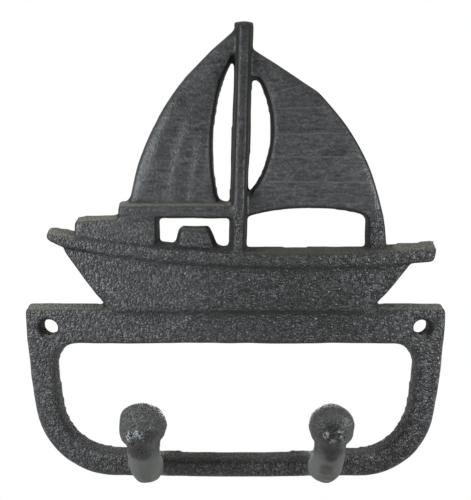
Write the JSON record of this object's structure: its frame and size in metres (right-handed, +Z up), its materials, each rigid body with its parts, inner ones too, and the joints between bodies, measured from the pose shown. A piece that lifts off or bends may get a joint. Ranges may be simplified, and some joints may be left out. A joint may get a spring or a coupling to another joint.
{
  "type": "wall hook rack",
  "caption": "Cast-iron wall hook rack: a sailboat in relief on a bucket-shaped frame, with ball-ended coat hooks on its bottom bar and screw holes in its top corners.",
  "frame": {"origin": "midway between the two screw holes, on the wall plane", "axes": "+X to the right seen from the front, +Y from the front into the wall, +Z up"},
  "size_m": [0.1676, 0.0344, 0.1822],
  "materials": {
    "cast_iron": "dark grey sand-cast skin with a fine grain and a low sheen"
  },
  "bodies": {
    "root": {"rack_casting": "cast_iron"}
  },
  "joints": []
}
